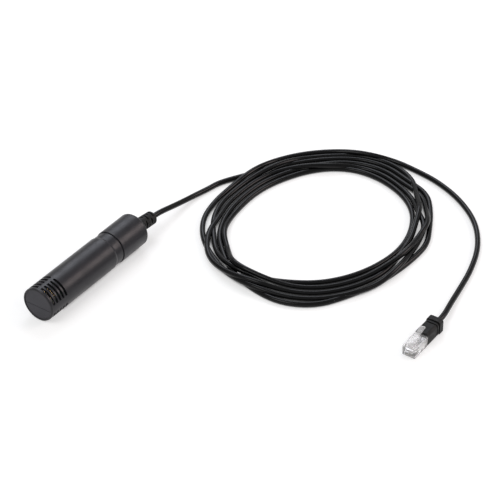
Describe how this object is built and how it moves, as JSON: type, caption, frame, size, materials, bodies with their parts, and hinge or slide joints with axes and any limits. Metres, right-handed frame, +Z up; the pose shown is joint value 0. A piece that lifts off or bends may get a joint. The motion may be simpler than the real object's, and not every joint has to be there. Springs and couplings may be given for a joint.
{
  "type": "temperature sensor probe",
  "caption": "Cylindrical plastic temperature probe with a slotted nose, a moulded strain relief and a long round cable in a loose coil that ends in a clear modular plug.",
  "frame": {"origin": "under the middle of the housing (without the strain relief), on the surface it lies on", "axes": "+X along the housing from the nose to the cable, +Z up, +Y to the left of +X"},
  "size_m": [0.3003, 0.2411, 0.025],
  "materials": {
    "housing_plastic": "dark grey moulded plastic with a soft sheen",
    "cap_plastic": "dark grey moulded plastic, a little lighter",
    "soft_rubber": "matt black soft moulding",
    "cable_jacket": "smooth black jacket with a sheen",
    "tie_plastic": "black nylon",
    "board": "dark lacquered circuit board",
    "chip_plastic": "black moulded package",
    "ceramic": "pale ceramic",
    "gold": "gold plated",
    "header_plastic": "pale nylon",
    "core_plastic": "thin coloured insulation",
    "clear_plastic": "clear polycarbonate"
  },
  "bodies": {
    "root": {"front_tube": "housing_plastic", "end_cap": "cap_plastic", "rear_cap": "housing_plastic", "strain_relief": "soft_rubber", "cable_end": "cable_jacket", "cable_tie": "tie_plastic", "sensor_board": "board", "sensor_chip": "chip_plastic", "contact_pads": "gold", "interface_chip": "chip_plastic", "capacitor_1": "ceramic", "resistor_1": "chip_plastic", "capacitor_2": "ceramic", "resistor_2": "chip_plastic", "board_header": "header_plastic", "header_pin_1": "gold", "header_pin_2": "gold", "header_pin_3": "gold", "header_pin_4": "gold", "header_pin_5": "gold", "header_pin_6": "gold", "inner_core_1": "core_plastic", "inner_core_2": "core_plastic", "inner_core_3": "core_plastic", "inner_core_4": "core_plastic", "inner_core_5": "core_plastic", "inner_core_6": "core_plastic", "plug_body": "clear_plastic", "contact_1": "gold", "contact_2": "gold", "contact_3": "gold", "contact_4": "gold", "contact_5": "gold", "contact_6": "gold", "plug_core_1": "core_plastic", "plug_core_2": "core_plastic", "plug_core_3": "core_plastic", "plug_core_4": "core_plastic", "plug_core_5": "core_plastic", "plug_core_6": "core_plastic", "cable_plug_end": "cable_jacket", "plug_boot": "soft_rubber", "cable_lead": "cable_jacket", "cable_coil": "cable_jacket", "cable_tail": "cable_jacket"}
  },
  "joints": []
}
